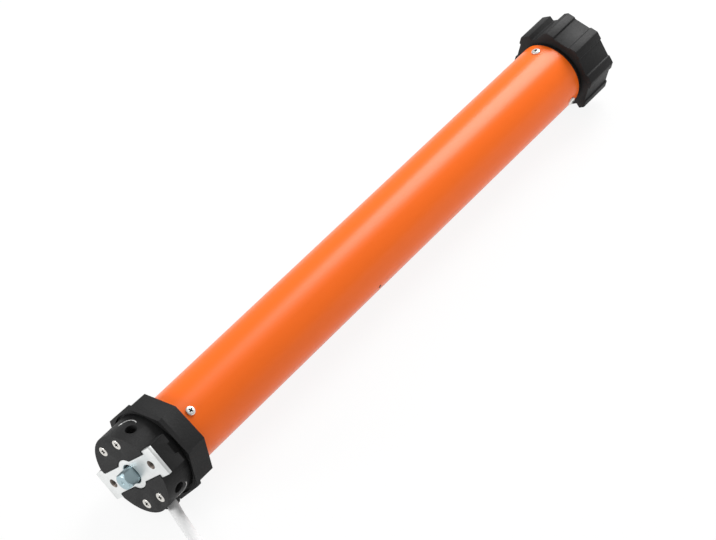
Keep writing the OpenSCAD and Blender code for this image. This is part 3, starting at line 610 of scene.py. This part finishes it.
def joined(*shapes):
    """One bmesh that holds several separate shapes."""
    whole = bmesh.new()
    for shape in shapes:
        mesh = bpy.data.meshes.new("part")
        shape.to_mesh(mesh)
        shape.free()
        whole.from_mesh(mesh)
        bpy.data.meshes.remove(mesh)
    return whole


def carved(bm, *cutters):
    """Cuts the other shapes out of the first one. The cut faces keep the cutter's material."""
    objects = []
    for shape in (bm, *cutters):
        mesh = bpy.data.meshes.new("carving")
        shape.to_mesh(mesh)
        shape.free()
        for _ in range(2):
            mesh.materials.append(None)
        objects.append(bpy.data.objects.new("carving", mesh))
        bpy.context.scene.collection.objects.link(objects[-1])
    for cutter in objects[1:]:
        cut = objects[0].modifiers.new("cut", "BOOLEAN")
        cut.operation = "DIFFERENCE"
        cut.solver = "EXACT"
        cut.object = cutter
    whole = bmesh.new()
    whole.from_object(objects[0], bpy.context.evaluated_depsgraph_get())
    for spent in objects:
        mesh = spent.data
        bpy.data.objects.remove(spent)
        bpy.data.meshes.remove(mesh)
    bmesh.ops.remove_doubles(whole, verts=whole.verts, dist=SLIVER)
    bmesh.ops.dissolve_degenerate(whole, edges=whole.edges, dist=SLIVER)
    return whole


def softened(node, width):
    """A copy of a frame node with rounded edges."""
    bm = bmesh.new()
    bm.from_mesh(nodes[node].data)
    bmesh.ops.remove_doubles(bm, verts=bm.verts, dist=SLIVER)
    bmesh.ops.dissolve_limit(bm, angle_limit=FLAT_ANGLE, verts=bm.verts, edges=bm.edges)
    piece = finished(node + "_shell", bm, slot_of(node), nodes[node]["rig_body"], node)
    bevel = piece.modifiers.new("rounded_edges", "BEVEL")
    bevel.limit_method = "ANGLE"
    bevel.angle_limit = SHARP_ANGLE
    bevel.width = width
    bevel.segments = ROUND_STEPS
    bevel.harden_normals = True


print("modelling tools ready")

# %% [markdown]
# The head, its cover, the crown, the pin, the two limit adjusters and the wheel's washer and screw have the
# right shape in the frame, so each gets a rounded copy. The widths of the rounding are in millimetres.

# %% Round the frame's pieces
ROUNDED = {
    "head_housing": 0.5, "head_cover": 0.35, "crown": 0.5, "mounting_pin": 0.25,
    "limit_adjuster_up": 0.15, "limit_adjuster_down": 0.15,
    "drive_wheel_washer": 0.3, "drive_wheel_screw": 0.3,
}
for node, width in ROUNDED.items():
    softened(node, width * MM)
print("rounded copies", len(ROUNDED))

# %% [markdown]
# ## Drive wheel
# The wheel is one moulding: an octagon whose flats are sunk between its corners, two notches that clear the
# seam of a blind's tube, and a hub on ribs behind a thick web. Its outline is worked out flat by flat,
# extruded and bevelled. The pockets between the ribs are one ring, cut through by eight bars, and bevelled
# before it is carved out, so the pockets get the round corners that a mould has. The sides of flats and
# notches are in millimetres from the flat's middle.

# %% Drive wheel
WHEEL_TOP_R = 28.1 * MM
WHEEL_FLAT_R = WHEEL_TOP_R - 1.0 * MM
FLAT_SIDES = (-6.3, -5.8, 5.8, 6.3)
NOTCH_FLOOR_R = WHEEL_TOP_R - 3.4 * MM
NOTCHES = {157.5: (-7.25, -6.9, 0.1, 8.3), 337.5: (-4.55, -3.75, 0.1, 8.3)}
WHEEL_WEB = 8 * MM
WHEEL_RIM_R = WHEEL_TOP_R - 5.4 * MM
WHEEL_HUB_R = 13 * MM
WHEEL_RECESS = 8 * MM
WHEEL_RIB = 2 * MM
WHEEL_ROUND = 0.35 * MM
POCKET_ROUND = 0.4 * MM
POCKET_STEPS = 48
MOUTH_CHAMFER = 0.6 * MM
MOUTH_OVER = 0.4 * MM
MOUTH_INTO_POCKETS = 0.02 * MM
SHAFT_R = 8.02 * MM
SHAFT_FLAT = 6.52 * MM
OCTAGON_HALF = radians(22.5)
ON_AXIS = Matrix.Translation((0, 0, axis_z)) @ Matrix.Rotation(radians(90), 4, "Y")
wheel_len = wheel_high.x - wheel_low.x


def wheel_corner(turn, up, side):
    """The point at a height over the axis and a distance to the side, on the flat at that turn."""
    return on_axis(wheel_low.x, hypot(up, side), turn + degrees(atan2(side, up)))


def flat_outline(turn):
    """A flat's own corner and then its dip: down, along and up again."""
    dip = NOTCHES.get(turn, FLAT_SIDES)
    low = NOTCH_FLOOR_R if turn in NOTCHES else WHEEL_FLAT_R
    heights = (WHEEL_TOP_R, low, low, WHEEL_TOP_R)
    corner = wheel_corner(turn, WHEEL_TOP_R, -WHEEL_TOP_R * tan(OCTAGON_HALF))
    return [corner] + [wheel_corner(turn, up, side * MM) for up, side in zip(heights, dip)]


def shaft_corner(a):
    """A point of the shaft's hole, which is round with two flats."""
    up = min(max(SHAFT_R * cos(a), -SHAFT_FLAT), SHAFT_FLAT)
    return (wheel_low.x - MM, SHAFT_R * sin(a), axis_z + up)


wheel_outline = []
for flat in range(8):
    wheel_outline += flat_outline(45 * flat + degrees(OCTAGON_HALF))
wheel = bevelled(prism(wheel_outline, (wheel_len, 0, 0)), WHEEL_ROUND)

floor_x = wheel_low.x + WHEEL_WEB
rib_x = wheel_high.x - WHEEL_RECESS
ring_profile = [(floor_x, WHEEL_HUB_R), (floor_x, WHEEL_RIM_R), (rib_x, WHEEL_RIM_R), (rib_x, WHEEL_HUB_R)]
ring = placed(spun(ring_profile, POCKET_STEPS), ON_AXIS)
bar_low = (floor_x - MM, -WHEEL_RIB / 2, axis_z)
bar_high = (rib_x + MM, WHEEL_RIB / 2, axis_z + 2 * WHEEL_RIM_R)
bars = [placed(block(bar_low, bar_high), axis_turn(45 * i)) for i in range(8)]
pockets = bevelled(carved(ring, *bars), POCKET_ROUND)
mouth_x = rib_x - MOUTH_INTO_POCKETS
over_x = wheel_high.x + MOUTH_OVER
mouth = placed(spun([
    (mouth_x, 0), (mouth_x, WHEEL_RIM_R), (wheel_high.x - MOUTH_CHAMFER, WHEEL_RIM_R),
    (over_x, WHEEL_RIM_R + MM), (over_x, 0),
]), ON_AXIS)
shaft_outline = [shaft_corner(radians(a)) for a in range(0, 360, 5)]
wheel = carved(wheel, pockets, mouth, prism(shaft_outline, (wheel_len + 2 * MM, 0, 0)))
wheel_body = nodes["drive_wheel"]["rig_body"]
wheel_piece = finished("drive_wheel_moulding", wheel, "black_plastic", wheel_body, "drive_wheel")
print("drive wheel faces", len(wheel_piece.data.polygons))

# %% [markdown]
# ## Screws
# A screw's head is a small profile spun about its own axis, with the cross of a driver carved into it. The
# cross is two tapered blades. Its inside is painted dark, as painted shade for the deep recess. Each
# ring on the tube is given by its distance from the face, in millimetres, and the turn of its first screw.

# %% Screws
TUBE_SCREWS = {"head_end_screws": (42.4, 35), "drive_end_screws": (410.2, -5)}
PAN_R = 2.9 * MM
PAN_H = 1.3 * MM
PAN_ROUND = 1.3 * MM
PAN_SINK = 0.15 * MM
PAN_SHANK = 4 * MM
FACE_SCREW_R = 3.1 * MM
FACE_SHANK = 6.5 * MM
FACE_SCREW_CIRCLE = 20.9 * MM
FACE_SCREW_TURNS = (66, 114, 246, 294)
PLATE_TURN = 51
SHANK_R = 1.4 * MM
SCREW_STEPS = 48
PAN_CROSS_TURNS = (20, 45, 70)
FACE_CROSS_TURNS = (15, 55, 95, 135)
CROSS_LONG = 3.4 * MM
CROSS_WIDE = 0.95 * MM
CROSS_DEEP = 1.9 * MM
CROSS_OVER = 0.6 * MM
CROSS_TAPER = (0.4, 0.7)
FACING_OUT = Matrix.Rotation(radians(-90), 4, "Y")


def blade():
    """One blade of a driver's tip, which narrows towards its point, from just over the origin downwards."""
    bm = block(
        (-CROSS_LONG / 2, -CROSS_WIDE / 2, -CROSS_DEEP), (CROSS_LONG / 2, CROSS_WIDE / 2, CROSS_OVER))
    for vert in bm.verts:
        if vert.co.z < 0:
            vert.co.x *= CROSS_TAPER[0]
            vert.co.y *= CROSS_TAPER[1]
    # The blades' faces take the second slot, so the carved recess gets the painted shade.
    for face in bm.faces:
        face.material_index = 1
    return bm


def driven(head, top, turn):
    """Carves a cross into a screw's head."""
    lift = Matrix.Translation((0, 0, top))
    blades = [placed(blade(), lift @ Matrix.Rotation(radians(turn + a), 4, "Z")) for a in (0, 90)]
    return carved(head, *blades)


def pan_screw():
    """The profile of a screw with a domed head."""
    rounds = [radians(a) for a in range(0, 91, 15)]
    dome = [(0.4 * PAN_H + 0.6 * PAN_H * sin(a), PAN_R - PAN_ROUND * (1 - cos(a))) for a in rounds]
    shank = [(-PAN_SHANK, 0), (-PAN_SHANK, SHANK_R), (-PAN_SINK, SHANK_R), (-PAN_SINK, PAN_R)]
    return [*shank, *dome, (PAN_H, 0)]


def flat_screw():
    """The profile of a screw whose head is sunk flush."""
    return [
        (-FACE_SHANK, 0), (-FACE_SHANK, SHANK_R), (-1.8 * MM, SHANK_R),
        (-0.5 * MM, FACE_SCREW_R - 0.05 * MM), (-0.12 * MM, FACE_SCREW_R),
        (0, FACE_SCREW_R - 0.15 * MM), (0, 0),
    ]


def tube_seat(along, turn):
    """The place of a screw on the tube, which points away from the axis."""
    across = Matrix.Rotation(radians(turn), 4, "X")
    return Matrix.Translation((face_x + along, 0, axis_z)) @ across @ Matrix.Translation((0, 0, tube_r))


def face_seat(turn):
    """The place of a screw on the face, which points out of it."""
    return Matrix.Translation(on_axis(face_x, FACE_SCREW_CIRCLE, PLATE_TURN + turn)) @ FACING_OUT


def screws(name, slot, shapes):
    """Makes one piece of several screws. The crosses carved into them get a painted shade of their own."""
    piece = finished(name + "_turned", joined(*shapes), slot, "motor", name)
    # The second slot is the painted shade inside the crosses.
    piece.data.materials.append(finishes["recess_painted_shade"])


for node, (along, first) in TUBE_SCREWS.items():
    pans = [driven(spun(pan_screw(), SCREW_STEPS), PAN_H, turn) for turn in PAN_CROSS_TURNS]
    seats = [tube_seat(along * MM, first + 120 * k) for k in range(3)]
    screws(node, "tube_screw_steel", [placed(pan, seat) for pan, seat in zip(pans, seats)])
seats = [face_seat(turn) for turn in FACE_SCREW_TURNS]
flats = [driven(spun(flat_screw(), SCREW_STEPS), 0, turn) for turn in FACE_CROSS_TURNS]
screws("face_screws", "face_screw_steel", [placed(flat, seat) for flat, seat in zip(flats, seats)])
print("screws on the tube and the face", len(PAN_CROSS_TURNS) * len(TUBE_SCREWS) + len(seats))

# %% [markdown]
# ## Mounting plate
# The plate is stamped from zinc-plated strip: two wide ends, narrower arms and a round lobe for the pin. One
# half of the outline is listed and the other is the same turned half round. Each tapped hole shows its
# thread, so the hole's wall is a profile of ridges, spun and carved out.

# %% Mounting plate
PLATE_HALF = 33.5 * MM
PLATE_END_HALF = 9.4 * MM
PLATE_END_LEN = 8.6 * MM
PLATE_ARM_HALF = 7.2 * MM
PLATE_LOBE_R = 9.9 * MM
PLATE_ROUND = 0.3 * MM
PIN_HOLE_R = 6.5 * MM
PIN_CHAMFER = 0.3 * MM
HOLE_STEPS = 48
HOLE_OVER = 0.5 * MM
TAPPED_R = 2.5 * MM
RIM_DEEP = 0.35 * MM
RIM_OVER = 0.05 * MM
RIM_WIDE = 0.4 * MM
TAPPED_PITCH = 48 * MM
THREAD_STEP = 0.5 * MM
THREAD_DEPTH = 0.28 * MM
THREAD_ROOT = 0.1 * MM
THREAD_CREST = 0.3 * MM
plate_t = plate_high.x - plate_low.x


def plate_point(along, side):
    """A point of the plate's front face, along its length and across it."""
    return axis_turn(PLATE_TURN) @ Vector((plate_low.x, side, axis_z + along))


def plate_half():
    """One long side of the outline, from end to end."""
    waist = acos(PLATE_ARM_HALF / PLATE_LOBE_R)
    arc = [waist * (k / 4 - 1) for k in range(9)]
    lobe = [(PLATE_LOBE_R * sin(a), PLATE_LOBE_R * cos(a)) for a in arc]
    neck = PLATE_HALF - PLATE_END_LEN
    end = [(neck, PLATE_ARM_HALF), (neck, PLATE_END_HALF), (PLATE_HALF, PLATE_END_HALF)]
    return [(-along, side) for along, side in reversed(end)] + lobe + end


def tapped_hole(along):
    """The shape that is carved out for a tapped hole, ridged where the thread stands."""
    ridges = []
    for k in range(round(plate_t / THREAD_STEP) - 1):
        low = -plate_t + THREAD_STEP * k
        ridges += [(low + THREAD_ROOT, TAPPED_R), (low + THREAD_CREST, TAPPED_R - THREAD_DEPTH)]
    rim_r = TAPPED_R + RIM_WIDE
    rim = [(-RIM_DEEP, TAPPED_R), (RIM_OVER, rim_r), (HOLE_OVER, rim_r), (HOLE_OVER, 0)]
    profile = [(-plate_t - MM, 0), (-plate_t - MM, TAPPED_R), *ridges, *rim]
    hole = placed(spun(profile, HOLE_STEPS), Matrix.Translation(plate_point(along, 0)) @ FACING_OUT)
    # The hole's faces take the second slot, which colours the thread darker than the plate.
    for face in hole.faces:
        face.material_index = 1
    return hole


half = plate_half()
flat_plate = half + [(-along, -side) for along, side in half]
plate_outline = [plate_point(along, side) for along, side in flat_plate]
strip = bevelled(prism(plate_outline, (plate_t, 0, 0)), PLATE_ROUND)
pin_rim_r = PIN_HOLE_R + PIN_CHAMFER
pin_hole = placed(spun([
    (-MM, 0), (-MM, pin_rim_r), (-0.01 * MM, pin_rim_r), (PIN_CHAMFER, PIN_HOLE_R),
    (plate_t + MM, PIN_HOLE_R), (plate_t + MM, 0),
]), Matrix.Translation((plate_low.x, 0, 0)) @ ON_AXIS)
strip = carved(strip, pin_hole, *(tapped_hole(side * TAPPED_PITCH / 2) for side in (-1, 1)))
plate_piece = finished("stamped_plate", strip, "zinc_plate", "motor", "mounting_plate")
# The second slot colours the threads darker than the plate.
plate_piece.data.materials.append(finishes["darker_thread"])
print("plate faces", len(plate_piece.data.polygons))

# %% [markdown]
# ## Cable tie and ferrules
# A nylon tie is pulled tight round the coil. A tight strap takes the shape of the hull round the cable's
# passes, so two circles are laid at each pass, their convex hull is taken and its two ends are opened.
# What is left is a band, which gets its thickness, a locking head and the stub of the cut-off tail. The
# ferrules are small turned sleeves with rings where the crimping pliers pressed them.

# %% Cable tie and ferrules
TIE_W = 5 * MM
TIE_T = 0.75 * MM
TIE_SLACK = 0.05 * MM
TIE_STEPS = 40
TIE_FLAT_ANGLE = radians(0.5)
TIE_ROUND = 0.18 * MM
TIE_HEAD = Vector((7.4, 5.6, 4.4)) * MM
TIE_SLOT = Vector((5.4, 1.9, 6.0)) * MM
TIE_STUB = Vector((4.7, 1.0, 6.0)) * MM
TIE_HEAD_R = 44 * MM
TIE_HEAD_ROUND = 0.5 * MM
TIE_STUB_ROUND = 0.2 * MM
TIE_SLOT_FLOOR = 0.8 * MM
FERRULE_R = 1.0 * MM
FERRULE_LEN = 8 * MM
FERRULE_STEPS = 24
COLLAR_LEN = 0.7 * MM
COLLAR_END = 1.2 * MM
CRIMP_DEPTH = 0.16 * MM
CRIMPS_AT = (3.0 * MM, 4.4 * MM, 5.8 * MM)
CRIMP_PLACES = (0, 0.2 * MM, 0.6 * MM, 0.8 * MM)


def standing(size, foot):
    """A box of that size whose lowest face is centred on a point."""
    half = Vector((size.x / 2, size.y / 2, 0))
    return block(foot - half, foot + half + Vector((0, 0, size.z)))


def tie_strap(passes):
    """The band that is pulled tight round the cable's passes."""
    bm = bmesh.new()
    for spot in passes:
        for side in (-TIE_W / 2, TIE_W / 2):
            seat = Matrix.Translation(spot + Vector((side, 0, 0))) @ Matrix.Rotation(radians(90), 4, "Y")
            bmesh.ops.create_circle(bm, segments=TIE_STEPS, radius=CABLE_D / 2 + TIE_SLACK, matrix=seat)
    bmesh.ops.delete(bm, geom=bm.edges[:], context="EDGES_FACES")
    bmesh.ops.convex_hull(bm, input=bm.verts[:])
    bmesh.ops.delete(bm, geom=[v for v in bm.verts if not v.link_faces], context="VERTS")
    bmesh.ops.recalc_face_normals(bm, faces=bm.faces)
    bmesh.ops.delete(bm, geom=[f for f in bm.faces if abs(f.normal.x) > 0.5], context="FACES")
    bmesh.ops.dissolve_limit(bm, angle_limit=TIE_FLAT_ANGLE, verts=bm.verts, edges=bm.edges)
    bmesh.ops.solidify(bm, geom=bm.faces[:], thickness=-TIE_T)
    return bevelled(bm, TIE_ROUND)


def ferrule():
    """A sleeve along Z with a collar, the rings of the crimp and a chamfered tip."""
    pressed = FERRULE_R - CRIMP_DEPTH
    crimp = list(zip(CRIMP_PLACES, (FERRULE_R, pressed, pressed, FERRULE_R)))
    tip = [(FERRULE_LEN - 0.3 * MM, FERRULE_R), (FERRULE_LEN, FERRULE_R - 0.2 * MM), (FERRULE_LEN, 0)]
    profile = [(0, 0), (0, CORE_D / 2), (COLLAR_LEN, CORE_D / 2), (COLLAR_END, FERRULE_R)]
    for at in CRIMPS_AT:
        profile += [(at + place, r) for place, r in crimp]
    return spun(profile + tip, FERRULE_STEPS)


passes = [coil_point(a) for a in range(0, coil_sweep + 1, 360)]
tie_foot = Vector((COIL_CENTRE[0], COIL_CENTRE[1] - TIE_HEAD_R, passes[-1].z + CABLE_D / 2 + TIE_T))
slot_foot = tie_foot + Vector((0, 0, TIE_SLOT_FLOOR))
tie_head = bevelled(standing(TIE_HEAD, tie_foot), TIE_HEAD_ROUND)
tie_head = carved(tie_head, standing(TIE_SLOT, slot_foot))
tie_stub = bevelled(standing(TIE_STUB, slot_foot), TIE_STUB_ROUND)
tie_shape = joined(tie_strap(passes), tie_head, tie_stub)
tie_piece = finished("cable_tie_strap", tie_shape, "tie_plastic", "motor", "cable_tie")
sleeves = []
for corner, spread, _ in CORES.values():
    core_end = core_point(corner, spread, CORE_LEN)
    way = core_end - core_point(corner, spread, CORE_LEN * (1 - 1 / CORE_STEPS))
    way.z = 0
    lie = way.to_track_quat("Z", "Y").to_matrix().to_4x4()
    sleeves.append(placed(ferrule(), Matrix.Translation(core_end) @ lie))
ferrule_piece = finished("crimped_ferrules", joined(*sleeves), "ferrule_tin", "motor", "core_ferrules")
print("tie faces", len(tie_piece.data.polygons), "ferrules", len(sleeves))

# %% [markdown]
# ## Arrow prints
# Beside each limit adjuster, a thin white arrow is printed on the head to say which way to turn it. The
# print is a flat band drawn on the unrolled side of the head and then rolled up, just proud of the plastic.

# %% Arrow prints
ADJUSTER_AT = 9 * MM
ADJUSTER_TURNS = {"up_arrow": (-1, -1), "down_arrow": (103, 1)}
ARROW_R = 6.6 * MM
ARROW_SHIFT = 4 * MM
ARROW_HALF = 0.24 * MM
ARROW_HEAD = 0.85 * MM
ARROW_BAND = [(28 - 4 * k, ARROW_HALF) for k in range(24)]
ARROW_POINT = [(-66, ARROW_HEAD), (-78, 0.35 * ARROW_HEAD), (-90, 0.02 * MM)]
PRINT_LIFT = 0.03 * MM
PRINT_T = 0.05 * MM


def rolled(x, sideways, turn):
    """The point of the head's side at that distance from the face, and sideways from that turn."""
    return on_axis(face_x + x, head_r + PRINT_LIFT, turn + degrees(sideways / head_r))


def arrow_spot(turn, way, a, r):
    """The point of an arrow at that angle and radius, beside the adjuster at that turn."""
    sideways = way * (ARROW_SHIFT - r * sin(radians(a)))
    return rolled(ADJUSTER_AT + r * cos(radians(a)), sideways, turn)


def arrow_print(turn, way):
    """A thin curved arrow, row by row along its bend, with its point at the end."""
    bm = bmesh.new()
    rows = []
    for a, half_width in ARROW_BAND + ARROW_POINT:
        radii = (ARROW_R - half_width, ARROW_R + half_width)
        rows.append([bm.verts.new(arrow_spot(turn, way, a, r)) for r in radii])
    for (a, b), (c, d) in zip(rows, rows[1:]):
        bm.faces.new((a, b, d, c))
    bmesh.ops.recalc_face_normals(bm, faces=bm.faces)
    bmesh.ops.solidify(bm, geom=bm.faces[:], thickness=PRINT_T)
    return bm


for name, (turn, way) in ADJUSTER_TURNS.items():
    finished(name, arrow_print(turn, way), "white_print", "motor")
print("arrow prints", len(ADJUSTER_TURNS))

# %% [markdown]
# ## Stage and light
# A white sweep and two soft lights, with the white surroundings as fill. The key light stands high beyond
# the wheel's end and gives the long soft highlight on the tube. The front light is smaller, stands beyond
# the head and brightens its face. The sweep glows where the camera or a reflection sees it.

# %% Stage
FLOOR_HALF = 6.0
FLOOR_GLOW = 0.9
WORLD_STRENGTH = 0.52
WHITE = (1, 1, 1, 1)


def stage_finish():
    """A matt white that glows where it is seen, and only reflects where it lights the part."""
    finish = Finish("white_sweep", (0.86, 0.86, 0.86), 0.9)
    path = finish.node("ShaderNodeLightPath")
    seen = Value(finish, path.outputs["Is Camera Ray"]) + Value(finish, path.outputs["Is Glossy Ray"])
    seen = seen + Value(finish, path.outputs["Is Transmission Ray"])
    glow = finish.node("ShaderNodeEmission", {"Color": WHITE, "Strength": 1.0})
    blend = finish.node("ShaderNodeMixShader", {0: seen * FLOOR_GLOW})
    finish.tree.links.new(finish.shader.outputs[0], blend.inputs[1])
    finish.tree.links.new(glow.outputs[0], blend.inputs[2])
    finish.tree.links.new(blend.outputs[0], finish.tree.nodes["Material Output"].inputs["Surface"])
    return finish.material


bm = bmesh.new()
bmesh.ops.create_grid(bm, x_segments=1, y_segments=1, size=FLOOR_HALF)
floor_mesh = bpy.data.meshes.new("floor")
bm.to_mesh(floor_mesh)
bm.free()
floor = bpy.data.objects.new("floor", floor_mesh)
floor_mesh.materials.append(stage_finish())
bpy.context.scene.collection.objects.link(floor)

world = bpy.data.worlds.new("white_room")
world.use_nodes = True
background = world.node_tree.nodes["Background"]
background.inputs["Color"].default_value = WHITE
background.inputs["Strength"].default_value = WORLD_STRENGTH
bpy.context.scene.world = world


def soft_light(name, at, to, size, watts):
    """A round area light that stands at one point and faces another."""
    data = bpy.data.lights.new(name, "AREA")
    data.shape = "DISK"
    data.size = size
    data.energy = watts
    lamp = bpy.data.objects.new(name, data)
    lamp.matrix_world = aimed(at, to)
    bpy.context.scene.collection.objects.link(lamp)


soft_light("key", at=(1.4, 0.15, 1.25), to=(0, 0, 0.03), size=1.2, watts=36)
soft_light("front", at=(-1.5, 0.7, 0.7), to=(-0.2, 0, 0.03), size=0.6, watts=13)
bpy.context.scene.view_settings.view_transform = "Standard"
print("floor half width", FLOOR_HALF, "world strength", WORLD_STRENGTH)
